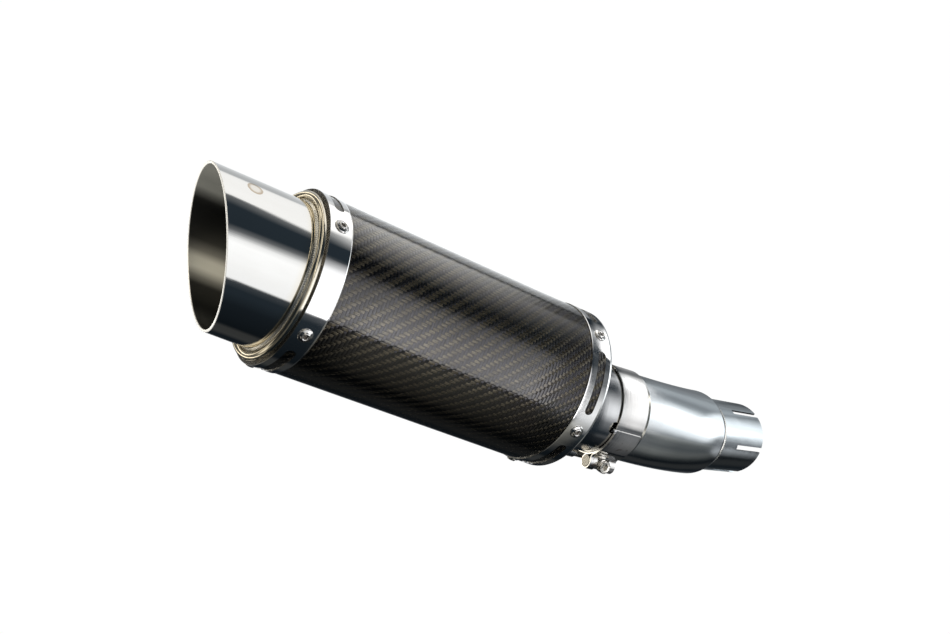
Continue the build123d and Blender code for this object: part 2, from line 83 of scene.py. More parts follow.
class Tree:
    """Node tree of one material, with short calls for the nodes it is made of."""

    def __init__(self, name):
        self.material = bpy.data.materials.new(name)
        self.material.use_nodes = True
        self.nodes = self.material.node_tree.nodes
        self.links = self.material.node_tree.links
        self.shader = self.nodes["Principled BSDF"]

    def add(self, kind, **settings):
        """A new node of a kind, with its settings."""
        node = self.nodes.new("ShaderNode" + kind)
        for key, value in settings.items():
            setattr(node, key, value)
        return node

    def feed(self, socket, value):
        """Links a socket to another, or sets it to a plain value; a colour gets its alpha."""
        if isinstance(value, bpy.types.NodeSocket):
            self.links.new(value, socket)
        elif socket.type == "RGBA":
            socket.default_value = (*value, 1)
        else:
            socket.default_value = value

    def set(self, **sockets):
        """Feeds the shader's sockets; Base_Color stands for Base Color."""
        for key, value in sockets.items():
            self.feed(self.shader.inputs[key.replace("_", " ")], value)

    def math(self, operation, *values):
        node = self.add("Math", operation=operation)
        for socket, value in zip(node.inputs, values):
            self.feed(socket, value)
        return node.outputs[0]

    def plus(self, a, b):
        return self.math("ADD", a, b)

    def times(self, a, b):
        return self.math("MULTIPLY", a, b)

    def mix(self, factor, a, b):
        """Colour between two colours."""
        node = self.add("Mix", data_type="RGBA")
        self.feed(node.inputs["Factor"], factor)
        self.feed(node.inputs[6], a)
        self.feed(node.inputs[7], b)
        return node.outputs[2]

    def mix_value(self, factor, a, b):
        node = self.add("Mix", data_type="FLOAT")
        self.feed(node.inputs["Factor"], factor)
        self.feed(node.inputs[2], a)
        self.feed(node.inputs[3], b)
        return node.outputs[0]

    def mix_vector(self, factor, a, b):
        node = self.add("Mix", data_type="VECTOR")
        self.feed(node.inputs["Factor"], factor)
        self.feed(node.inputs[4], a)
        self.feed(node.inputs[5], b)
        return node.outputs[1]

    def step(self, value, low, high, start=0.0, end=1.0):
        """Smooth step of a value from low to high."""
        node = self.add("MapRange", interpolation_type="SMOOTHSTEP")
        for socket, number in zip(node.inputs, (value, low, high, start, end)):
            self.feed(socket, number)
        return node.outputs[0]

    def ramp(self, value, stops):
        """Level read off a broken line of (value, level) stops, held past both ends."""
        low, high = stops[0][0], stops[-1][0]
        top = max(level for _, level in stops)
        node = self.add("ValToRGB")
        elements = node.color_ramp.elements
        while len(elements) > 1:
            elements.remove(elements[-1])
        for index, (place, level) in enumerate(stops):
            share = (place - low) / (high - low)
            element = elements[0] if index == 0 else elements.new(share)
            element.position = share
            element.color = (level / top, level / top, level / top, 1)
        self.feed(node.inputs[0], self.step_linear(value, low, high))
        return self.times(node.outputs[0], top)

    def step_linear(self, value, low, high):
        node = self.add("MapRange")
        for socket, number in zip(node.inputs, (value, low, high, 0.0, 1.0)):
            self.feed(socket, number)
        return node.outputs[0]

    def tint(self, colour, level):
        """Colour times a level, free to pass one."""
        node = self.add("VectorMath", operation="SCALE")
        self.feed(node.inputs[0], colour)
        self.feed(node.inputs["Scale"], level)
        return node.outputs[0]

    def sum(self, a, b):
        node = self.add("VectorMath", operation="ADD")
        self.feed(node.inputs[0], a)
        self.feed(node.inputs[1], b)
        return node.outputs[0]

    def join(self, x, y, z):
        node = self.add("CombineXYZ")
        for socket, value in zip(node.inputs, (x, y, z)):
            self.feed(socket, value)
        return node.outputs[0]

    def split(self, vector):
        node = self.add("SeparateXYZ")
        self.feed(node.inputs[0], vector)
        return node.outputs

    def noise(self, vector, scale, detail=3.0, roughness=0.5):
        node = self.add("TexNoise")
        self.feed(node.inputs["Vector"], vector)
        self.feed(node.inputs["Scale"], scale)
        self.feed(node.inputs["Detail"], detail)
        self.feed(node.inputs["Roughness"], roughness)
        return node.outputs[0]

    def place(self, matrix=CANISTER):
        """Position in a frame, in metres, from the mesh's own coordinates."""
        position = self.add("TexCoord").outputs["Object"]
        if matrix == CANISTER:
            return position
        node = self.add("Mapping", vector_type="TEXTURE")
        self.feed(node.inputs["Vector"], position)
        node.inputs["Location"].default_value = matrix.translation
        node.inputs["Rotation"].default_value = matrix.to_euler()
        return node.outputs[0]

    def polar(self, matrix=CANISTER):
        """Distance along a frame's X axis, angle round it from +Z towards -Y, and distance from it."""
        x, y, z = self.split(self.place(matrix))
        angle = self.math("ARCTAN2", self.times(y, -1.0), z)
        radius = self.math("SQRT", self.plus(self.times(y, y), self.times(z, z)))
        return x, angle, radius

    def bump(self, height, distance, strength=1.0):
        node = self.add("Bump")
        self.feed(node.inputs["Height"], height)
        self.feed(node.inputs["Distance"], distance)
        self.feed(node.inputs["Strength"], strength)
        return node.outputs[0]


def round_noise(tree, x, angle, along, around, detail=3.0):
    """Noise that closes on itself round a tube, with so many cells a metre along and a radian around."""
    ring_x = tree.times(tree.math("COSINE", angle), around)
    ring_y = tree.times(tree.math("SINE", angle), around)
    return tree.noise(tree.join(tree.times(x, along), ring_x, ring_y), 1.0, detail)


HEAT_STRAW = (0.84, 0.76, 0.60)
HEAT_BROWN = (0.46, 0.37, 0.27)
SLASH = math.radians(20.2)
MOUTH_PLANE = (REAR_EDGE - 44.7 * MM) * math.cos(SLASH)     # distance of the cut's plane from the origin
HEAT_MARK = (REAR_EDGE - 39 * MM, -15 * MM, TIP_OUTER_R - 2.6 * MM)     # middle of the mark on top

# Painted light of the outlet's inside, by angle from +Z towards -Y in degrees: two painted highlight streaks and
# painted shade over the soot
PAINTED_INSIDE_SHINE = (
    (-180, 0.2), (-162, 0.25), (-150, 0.06), (-130, 0.06), (-124, 0.5), (-117, 1.5), (-110, 1.4),
    (-104, 0.5), (-96, 0.12), (-70, 0.05), (-65, 0.07), (-60, 0.45), (-54, 1.05), (-44, 0.85), (0, 0.8),
    (60, 0.5), (180, 0.2),
)


def polished_tip():
    """Mirror outside, straw-tinted near the weld; satin and sooty inside, with painted highlights and painted
    shade by angle there, and a painted highlight along the mouth's rim.
    """
    t = Tree("polished_tip")
    x, angle, radius = t.polar()
    inside = t.step(radius, TIP_OUTER_R - 0.9 * MM, TIP_OUTER_R - 1.15 * MM)
    haze = round_noise(t, x, angle, 60, 5)
    drawn = round_noise(t, x, angle, 18, 140, 4)
    base = t.mix(haze, (0.90, 0.89, 0.87), (0.95, 0.95, 0.94))
    near_weld = t.step(x, TIP_BASE - 9 * MM, TIP_BASE - 1 * MM)
    tint = t.times(near_weld, t.plus(0.45, t.times(haze, 0.5)))
    outside = t.mix(tint, base, HEAT_STRAW)
    spot = t.noise(t.place(), 900)
    mark = t.add("VectorMath", operation="DISTANCE")
    t.feed(mark.inputs[0], t.place())
    mark.inputs[1].default_value = HEAT_MARK
    reach = t.plus(mark.outputs["Value"], t.times(spot, 0.6 * MM))
    heart = t.step(reach, 5.2 * MM, 4.4 * MM)
    ring = t.times(heart, t.step(reach, 2.4 * MM, 4.6 * MM))
    outside = t.mix(t.times(heart, 0.30), outside, (0.70, 0.60, 0.45))
    outside = t.mix(t.times(ring, 0.80), outside, (0.44, 0.33, 0.21))
    soot = round_noise(t, x, angle, 25, 3)
    # Painted highlights and painted shade: the inside's soot colour scaled by angle round the outlet
    painted_shine = t.ramp(t.times(angle, 180 / math.pi), PAINTED_INSIDE_SHINE)
    cut = t.add("VectorMath", operation="DOT_PRODUCT")
    t.feed(cut.inputs[0], t.place())
    cut.inputs[1].default_value = (math.cos(SLASH), 0, math.sin(SLASH))
    # Painted highlight: a pale, barely metallic line along the mouth's rim
    rim = t.step(cut.outputs["Value"], MOUTH_PLANE + 0.75 * MM, MOUTH_PLANE + 0.35 * MM)
    dark = t.mix(soot, (0.22, 0.22, 0.19), (0.32, 0.31, 0.27))
    mirror = t.plus(0.03, t.times(haze, 0.03))
    satin = t.plus(0.40, t.times(drawn, 0.14))
    t.set(
        Base_Color=t.mix(rim, t.mix(inside, outside, t.tint(dark, painted_shine)), (0.93, 0.90, 0.83)),
        Metallic=t.mix_value(rim, t.mix_value(inside, 1.0, 0.4), 0.3),
        Roughness=t.mix_value(inside, mirror, satin),
        Normal=t.bump(t.plus(drawn, t.times(haze, 0.8)), 0.006 * MM),
    )
    return t.material


def heat_tinted_steel(name, straw_from, straw_to):
    """Polished pressing whose straw tint grows between two places along the canister."""
    t = Tree(name)
    x, angle, radius = t.polar()
    cloud = round_noise(t, x, angle, 90, 6)
    spun = round_noise(t, t.plus(x, radius), angle, 4000, 2, 2)
    tint = t.times(t.step(x, straw_from, straw_to), t.plus(0.35, t.times(cloud, 0.8)))
    base = t.mix(cloud, (0.70, 0.68, 0.62), (0.84, 0.83, 0.80))
    t.set(
        Base_Color=t.mix(tint, base, HEAT_STRAW),
        Metallic=1.0,
        Roughness=t.plus(0.06, t.times(cloud, 0.08)),
        Normal=t.bump(spun, 0.004 * MM),
    )
    return t.material


def weld_metal(name, straw, brown):
    """Bright weld metal with clouds of straw tint and grains of brown oxide."""
    t = Tree(name)
    place = t.place()
    grain = t.noise(place, 2600, 4)
    cloud = t.noise(place, 160, 3)
    hue = t.mix(t.times(t.step(cloud, 0.35, 0.65), straw), (0.80, 0.79, 0.76), HEAT_STRAW)
    t.set(
        Base_Color=t.mix(t.times(t.step(grain, 0.5, 0.75), brown), hue, HEAT_BROWN),
        Metallic=1.0,
        Roughness=t.plus(0.16, t.times(grain, 0.2)),
        Normal=t.bump(grain, 0.02 * MM),
    )
    return t.material


FRONT_LEAN = 220            # rise of the front band's crown towards the inlet, a metre


def polished_band():
    """Mirror strap with faint dents, a fine grain and rolled edges; the front band leans a little below."""
    t = Tree("polished_band")
    x, angle, _ = t.polar()
    wave = round_noise(t, x, angle, 70, 9, 2)
    fine = round_noise(t, x, angle, 900, 60, 3)
    from_middle = t.math("ABSOLUTE", x)
    lean = t.times(t.step(x, 0, 10 * MM), t.step(angle, math.radians(45), math.radians(53)))
    slope = t.times(lean, t.times(t.plus(x, -FRONT_INNER_EDGE), FRONT_LEAN))
    roll = t.plus(
        t.step(from_middle, FRONT_INNER_EDGE + 0.6 * MM, FRONT_INNER_EDGE),
        t.step(from_middle, FRONT_EDGE - 1.1 * MM, FRONT_EDGE),
    )
    dents = t.plus(t.times(wave, 0.16), t.plus(t.times(fine, 0.006), slope))
    t.set(
        Base_Color=t.mix(wave, (0.90, 0.90, 0.91), (0.96, 0.96, 0.95)),
        Metallic=1.0,
        Roughness=t.plus(0.025, t.times(fine, 0.05)),
        Normal=t.bump(t.plus(dents, t.times(roll, -1.0)), 0.12 * MM),
    )
    return t.material


def rivet_steel():
    """Bright steel of the rivets' heads."""
    t = Tree("rivet_steel")
    place = t.place()
    grain = t.noise(place, 1500, 3)
    t.set(
        Base_Color=t.mix(grain, (0.60, 0.59, 0.58), (0.80, 0.79, 0.78)),
        Metallic=1.0,
        Roughness=t.plus(0.07, t.times(grain, 0.10)),
        Normal=t.bump(grain, 0.006 * MM),
    )
    return t.material


def broken_stem():
    """Sheared, oily end of a rivet's stem."""
    t = Tree("broken_stem")
    grain = t.noise(t.place(), 2400, 5)
    t.set(
        Base_Color=t.mix(grain, (0.10, 0.09, 0.08), (0.38, 0.35, 0.32)),
        Metallic=1.0,
        Roughness=t.plus(0.35, t.times(grain, 0.3)),
        Normal=t.bump(grain, 0.05 * MM),
    )
    return t.material


TOWS_ROUND = 160            # carbon tows side by side round the sleeve
SLEEVE_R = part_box("carbon_sleeve")[1].y


def carbon_twill():
    """Two by two twill of 2 mm tows under clear lacquer."""
    t = Tree("carbon_twill")
    x, angle, _ = t.polar()
    tow = 2 * math.pi * SLEEVE_R / TOWS_ROUND
    u = t.math("DIVIDE", x, tow)
    v = t.times(angle, TOWS_ROUND / (2 * math.pi))
    column = t.math("FLOOR", u)
    line = t.math("FLOOR", v)
    along = t.math("FLOORED_MODULO", t.plus(u, line), 4.0)
    around = t.math("FLOORED_MODULO", t.plus(v, column), 4.0)
    lengthwise = t.math("LESS_THAN", along, 2.0)
    rise_long = t.math("SINE", t.times(along, math.pi / 2))
    rise_round = t.math("SINE", t.times(t.plus(around, -2.0), math.pi / 2))
    cross_long = t.math("SINE", t.times(t.math("FRACT", v), math.pi))
    cross_round = t.math("SINE", t.times(t.math("FRACT", u), math.pi))
    rise = t.mix_value(lengthwise, rise_round, rise_long)
    cross = t.mix_value(lengthwise, cross_round, cross_long)
    height = t.plus(t.times(rise, 0.6), t.times(t.math("SQRT", cross), 0.4))
    fibre_long = t.noise(t.join(t.times(u, 0.35), t.times(v, 14.0), 0.0), 1.0, 2)
    fibre_round = t.noise(t.join(t.times(u, 14.0), t.times(v, 0.35), 7.0), 1.0, 2)
    fibre = t.mix_value(lengthwise, fibre_round, fibre_long)
    wander = t.noise(t.join(t.times(u, 0.11), t.times(v, 0.11), 3.0), 1.0, 2)
    warm = t.mix(t.step(fibre, 0.3, 0.7), (0.007, 0.006, 0.004), (0.122, 0.106, 0.077))
    cool = t.mix(t.step(fibre, 0.3, 0.7), (0.004, 0.004, 0.004), (0.062, 0.060, 0.067))
    tow_colour = t.mix(lengthwise, cool, warm)
    shaded = t.mix(t.step(cross, 0.0, 0.5), (0.003, 0.003, 0.003), tow_colour)
    final = t.mix(t.times(t.step(wander, 0.4, 0.7), 0.35), shaded, (0.02, 0.018, 0.016))
    across_long = t.add("Tangent", direction_type="RADIAL", axis="X").outputs[0]
    across_round = t.join(1.0, 0.0, 0.0)
    t.set(
        Base_Color=final,
        Metallic=1.0,
        Roughness=t.plus(0.19, t.times(fibre, 0.10)),
        Anisotropic=0.95,
        Tangent=t.mix_vector(lengthwise, across_round, across_long),
        Normal=t.bump(t.plus(height, t.times(fibre, 0.10)), 0.16 * MM),
        Coat_Weight=1.0,
        Coat_Roughness=0.015,
        Coat_IOR=1.5,
        Coat_Normal=t.bump(height, 0.026 * MM),
    )
    return t.material


def brushed_round(name, matrix, light, dark):
    """Stainless brushed round a tube."""
    t = Tree(name)
    x, angle, _ = t.polar(matrix)
    lines = round_noise(t, x, angle, 3200, 1.2, 4)
    bands = round_noise(t, x, angle, 260, 0.8, 2)
    t.set(
        Base_Color=t.mix(t.plus(t.times(lines, 0.6), t.times(bands, 0.4)), dark, light),
        Metallic=1.0,
        Roughness=t.plus(0.03, t.times(lines, 0.05)),
        Anisotropic=0.3,
        Tangent=t.join(*SLIP_AXIS),
        Normal=t.bump(t.plus(lines, t.times(bands, 4.0)), 0.0009 * MM),
    )
    return t.material


def brushed_along(name, matrix, light, dark):
    """Stainless polished along a tube, with long streaks."""
    t = Tree(name)
    x, angle, _ = t.polar(matrix)
    streaks = round_noise(t, x, angle, 9, 60, 4)
    fine = round_noise(t, x, angle, 40, 300, 3)
    cloud = round_noise(t, x, angle, 40, 3, 2)
    dents = round_noise(t, x, angle, 55, 2.2, 1)
    t.set(
        Base_Color=t.mix(t.plus(t.times(streaks, 0.7), t.times(cloud, 0.3)), dark, light),
        Metallic=1.0,
        Roughness=t.plus(0.07, t.times(fine, 0.10)),
        Normal=t.bump(t.plus(dents, t.times(t.plus(streaks, t.times(fine, 0.3)), 0.06)), 0.14 * MM),
    )
    return t.material


def clamp_steel():
    """Bright rolled band, with brown stains from its spot welds in the lower half."""
    t = Tree("clamp_steel")
    x, angle, _ = t.polar(SLIP)
    rolled = round_noise(t, x, angle, 700, 2, 4)
    cloud = round_noise(t, x, angle, 60, 5, 2)
    burn = t.noise(t.place(), 210, 2)
    lower = t.step(angle, math.radians(92), math.radians(104))
    marks = t.times(lower, t.step(burn, 0.56, 0.68))
    shine = t.mix(cloud, (0.88, 0.87, 0.86), (0.95, 0.95, 0.95))
    t.set(
        Base_Color=t.mix(t.times(marks, 0.75), shine, (0.26, 0.17, 0.12)),
        Metallic=1.0,
        Roughness=t.plus(0.05, t.times(rolled, 0.06)),
        Normal=t.bump(t.plus(rolled, cloud), 0.006 * MM),
    )
    return t.material


def fastener_steel():
    """Duller, slightly yellow steel of the clamp's bolt and pins."""
    t = Tree("fastener_steel")
    grain = t.noise(t.place(), 1800, 4)
    cloud = t.noise(t.place(), 250, 2)
    t.set(
        Base_Color=t.mix(cloud, (0.62, 0.59, 0.53), (0.82, 0.80, 0.76)),
        Metallic=1.0,
        Roughness=t.plus(0.16, t.times(grain, 0.18)),
        Normal=t.bump(grain, 0.01 * MM),
    )
    return t.material


def core_steel():
    """Plain stainless, browned by the gas."""
    t = Tree("core_steel")
    grain = t.noise(t.place(), 600, 4)
    cloud = t.noise(t.place(), 60, 3)
    t.set(
        Base_Color=t.mix(cloud, (0.22, 0.18, 0.14), (0.50, 0.44, 0.36)),
        Metallic=1.0,
        Roughness=t.plus(0.32, t.times(grain, 0.25)),
        Normal=t.bump(grain, 0.02 * MM),
    )
    return t.material


def wool(name, light, dark, metallic):
    """Matted fibres."""
    t = Tree(name)
    place = t.place()
    bend = t.noise(place, 90, 2)
    x, y, z = t.split(place)
    strands = t.noise(t.join(t.times(x, 260.0), t.plus(t.times(y, 1900.0), t.times(bend, 9.0)), z), 1.0, 5)
    t.set(
        Base_Color=t.mix(strands, dark, light),
        Metallic=metallic,
        Roughness=t.plus(0.55, t.times(strands, 0.3)),
        Normal=t.bump(strands, 0.5 * MM),
    )
    return t.material


def dress(node, material):
    """Gives a CAD node a material."""
    mesh = frame["nodes"][node].data
    mesh.materials.clear()
    mesh.materials.append(material)


def smooth_piece(name, build, material, body, slot, *stands_for):
    """A new piece from a bmesh, shaded smooth, that rides on a body."""
    mesh = bpy.data.meshes.new(name)
    build.to_mesh(mesh)
    build.free()
    mesh.shade_smooth()
    mesh.set_sharp_from_angle(angle=math.radians(40))
    mesh.materials.append(material)
    piece = bpy.data.objects.new(name, mesh)
    bpy.context.scene.collection.objects.link(piece)
    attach(piece, body)
    if stands_for:
        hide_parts(*stands_for)
    return piece


def span(node, matrix):
    """Ends of a node along a frame's X axis, and its greatest distance from that axis."""
    inverse = matrix.inverted()
    points = [inverse @ vertex.co for vertex in frame["nodes"][node].data.vertices]
    return min(p.x for p in points), max(p.x for p in points), max(math.hypot(p.y, p.z) for p in points)


def lathe(build, matrix, rows, steps):
    """Skin through rings round a frame's X axis; a row is a place and a radius, plain or by angle."""
    rings = []
    for along, radius in rows:
        ring = []
        for i in range(steps):
            angle = 2 * math.pi * i / steps
            r = radius(angle) if callable(radius) else radius
            point = Vector((along, -r * math.sin(angle), r * math.cos(angle)))
            ring.append(build.verts.new(matrix @ point))
        rings.append(ring)
    for here, there in zip(rings, rings[1:]):
        for i in range(steps):
            k = (i + 1) % steps
            build.faces.new((here[i], here[k], there[k], there[i]))


BEAD_STEPS = 8              # points across a bead
RIPPLE_STEPS = 8            # points along one ripple
RIPPLE_BEND = 3.6           # four times the ripples between a crescent's middle and its ends
RIPPLE_FALL = 0.6           # exponent of a ripple's fall to the next
BEAD_UNDERSIDE = 0.998      # radius of a bead's hidden underside, as a share of its lower edge's


def rippled_bead(matrix, foot, toe, foot_r, toe_r, rise, ripple_count, height):
    """Closed ring of weld metal laid in overlapping crescents between a foot and a toe."""
    build = bmesh.new()
    rows = []
    count = ripple_count * RIPPLE_STEPS
    for i in range(count):
        angle = 2 * math.pi * i / count
        ring = []
        for j in range(BEAD_STEPS + 1):
            across = j / BEAD_STEPS
            arch = math.sin(math.pi * across)
            phase = (i / RIPPLE_STEPS + RIPPLE_BEND * (across - 0.5) ** 2) % 1.0
            lift = rise * arch + height * arch * (1 - phase) ** RIPPLE_FALL
            radius = foot_r + (toe_r - foot_r) * across + lift
            ring.append((foot + (toe - foot) * across, radius))
        low = min(foot_r, toe_r) * BEAD_UNDERSIDE
        ring.extend(((toe, low), (foot, low)))
        points = (Vector((x, -r * math.sin(angle), r * math.cos(angle))) for x, r in ring)
        rows.append([build.verts.new(matrix @ p) for p in points])
    size = len(rows[0])
    for i in range(count):
        here, there = rows[i], rows[(i + 1) % count]
        for j in range(size):
            k = (j + 1) % size
            build.faces.new((here[j], here[k], there[k], there[j]))
    bmesh.ops.recalc_face_normals(build, faces=build.faces)
    return build


def weld_beads():
    """Fine ripples of the outlet's, the stub's and the collar's welds."""
    low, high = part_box("tip_weld_bead")
    top = high.y - 0.95 * MM
    build = rippled_bead(CANISTER, high.x, low.x, top, TIP_OUTER_R, 0.5 * MM, 210, 0.30 * MM)
    metal = weld_metal("tip_weld_metal", 0.3, 0.05)
    smooth_piece("tip_weld", build, metal, "silencer", "weld", "tip_weld_bead")
    back, front, outer = span("stub_weld_bead", SLIP)
    build = rippled_bead(SLIP, back, front, outer - 1.0 * MM, outer - 1.2 * MM, 0.55 * MM, 110, 0.3 * MM)
    metal = weld_metal("stub_weld_metal", 0.6, 0.5)
    smooth_piece("stub_weld", build, metal, "silencer", "weld", "stub_weld_bead")
    back, front, outer = span("collar_weld_bead", COLLAR)
    build = rippled_bead(COLLAR, back, front, outer - 0.6 * MM, outer - 0.6 * MM, 0.35 * MM, 120, 0.2 * MM)
    metal = weld_metal("collar_weld_metal", 0.1, 0.15)
    smooth_piece("collar_weld", build, metal, "link", "weld", "collar_weld_bead")


RIVETS = 5
RIVET_TURNS = {"rear": 36.0, "front": 31.5}     # angle of each band's first rivet
RIVET_TAIL = -5.85

# Half section of a rivet in millimetres, as (radius, height over the band)
RIVET_OUTLINE = (
    (4.2, 0.0), (4.2, 0.26), (4.05, 0.5), (3.6, 0.74), (3.0, 0.9), (2.68, 1.02), (2.55, 1.3), (2.46, 1.6),
    (2.28, 1.82), (2.0, 1.9), (1.74, 1.86), (1.5, 1.64), (1.32, 1.25), (1.26, 0.9), (1.26, RIVET_TAIL),
    (2.4, RIVET_TAIL), (3.0, RIVET_TAIL + 0.6), (3.0, -3.55), (2.0, -3.55), (2.0, 0.0), (4.2, 0.0),
)


def rivets(material):
    """Blind rivets with a dished flange and a raised ring round the broken stem."""
    for end, first in RIVET_TURNS.items():
        low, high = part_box(f"{end}_band")
        middle = (low.x + high.x) / 2
        build = bmesh.new()
        for i in range(RIVETS):
            turn = Matrix.Rotation(math.radians(first + 360 / RIVETS * i), 4, "X")
            foot = Matrix.Translation((middle, 0, high.y + 0.025 * MM))
            seat = turn @ foot @ Matrix.Rotation(-math.pi / 2, 4, "Y")
            lathe(build, seat, [(z * MM, r * MM) for r, z in RIVET_OUTLINE], 48)
        bmesh.ops.remove_doubles(build, verts=build.verts, dist=0.001 * MM)
        bmesh.ops.recalc_face_normals(build, faces=build.faces)
        smooth_piece(f"{end}_rivet_heads", build, material, "silencer", "rivet_steel", f"{end}_rivets")


# The bolt in millimetres
BOLT_HEAD = 5.0
BOLT_HEAD_R = 4.2
BOLT_R = 2.5
THREAD_PITCH = 0.8
THREAD_DEPTH = 0.3
PLAIN_SHANK = 3
HALF_FLATS = 2.0
SOCKET_DEPTH = 2.6
KNURLS = 36
KNURL_DEPTH = 0.09


def hexagon(angle):
    """Radius of the socket's six flats."""
    sector = math.pi / 3
    return HALF_FLATS * MM / math.cos((angle % sector) - sector / 2)


def knurl(angle):
    """Radius of the head's grip."""
    return (BOLT_HEAD_R - KNURL_DEPTH + KNURL_DEPTH * math.cos(KNURLS * angle)) * MM


# Half section of the bolt's head in millimetres, from its socket's floor to the shank, as (place, radius)
HEAD_OUTLINE = (
    (SOCKET_DEPTH, 0.01), (SOCKET_DEPTH, hexagon), (0.12, hexagon), (0.0, 2.5), (0.0, 3.7), (0.35, 4.1),
    (0.6, knurl), (BOLT_HEAD - 0.7, knurl), (BOLT_HEAD - 0.3, 4.15), (BOLT_HEAD, 4.0), (BOLT_HEAD, BOLT_R),
)


def bolt(material):
    """Socket cap screw with a knurled head and rolled threads."""
    line = axis_frame(BOLT_ORIGIN, BOLT_AXIS)
    start, end, _ = span("clamp_bolt", line)
    rows = [(start + z * MM, r if callable(r) else r * MM) for z, r in HEAD_OUTLINE]
    along = start + (BOLT_HEAD + PLAIN_SHANK) * MM
    while along < end - 1.2 * MM:
        rows += [(along, BOLT_R * MM), (along + THREAD_PITCH / 2 * MM, (BOLT_R - THREAD_DEPTH) * MM)]
        along += THREAD_PITCH * MM
    rows += [(end - 0.4 * MM, (BOLT_R - 0.1) * MM), (end, (BOLT_R - 0.5) * MM), (end, 0.01 * MM)]
    build = bmesh.new()
    lathe(build, line, rows, 144)
    bmesh.ops.remove_doubles(build, verts=build.verts, dist=0.0015 * MM)
    bmesh.ops.recalc_face_normals(build, faces=build.faces)
    smooth_piece("clamp_screw", build, material, "bolt", "bolt_steel", "clamp_bolt")


def dress_frame():
    """Materials of the CAD nodes that show as they are."""
    dress("outlet_tip", polished_tip())
    dress("rear_cap", heat_tinted_steel("rear_cap_steel", REAR_EDGE + 2 * MM, REAR_EDGE - 3 * MM))
    dress("front_cap", heat_tinted_steel("front_cap_steel", FRONT_EDGE + 14 * MM, FRONT_EDGE + 4 * MM))
    band = polished_band()
    rivets(rivet_steel())
    stem = broken_stem()
    for end in ("rear", "front"):
        dress(f"{end}_band", band)
        dress(f"{end}_rivet_stems", stem)
    dress("carbon_sleeve", carbon_twill())
    dress("inlet_stub", brushed_round("brushed_stub", SLIP, (0.94, 0.94, 0.95), (0.72, 0.73, 0.75)))
    link = brushed_along("brushed_link", SLIP, (0.90, 0.92, 0.94), (0.74, 0.77, 0.80))
    for node in ("link_spigot", "link_bend", "link_neck"):
        dress(node, link)
    dress("slotted_collar", brushed_along("brushed_collar", COLLAR, (0.88, 0.91, 0.93), (0.70, 0.74, 0.78)))
    clamp = clamp_steel()
    dress("clamp_band", clamp)
    dress("clamp_bridge", clamp)
    fastener = fastener_steel()
    dress("clamp_trunnion_plain", fastener)
    dress("clamp_trunnion_threaded", fastener)
    bolt(fastener)
    core = core_steel()
    dress("core_tube", core)
    dress("inlet_reducer", core)
    dress("steel_wool_wrap", wool("steel_wool", (0.55, 0.54, 0.52), (0.12, 0.12, 0.12), 1.0))
    dress("glass_packing", wool("glass_wool", (0.90, 0.86, 0.70), (0.62, 0.57, 0.40), 0.0))


# Studio: a white room for the camera, and a lit tent round the canister's axis that only reflections see
TENT_RADIUS = 0.6
TENT_START = -4.2
TENT_END = 4.2
ROOM_RADIUS = 6.0
FLOOR_DROP = 0.6
SLIP_SWAY = 0.0785          # how far reflections in the tilted slip joint wander along the tent

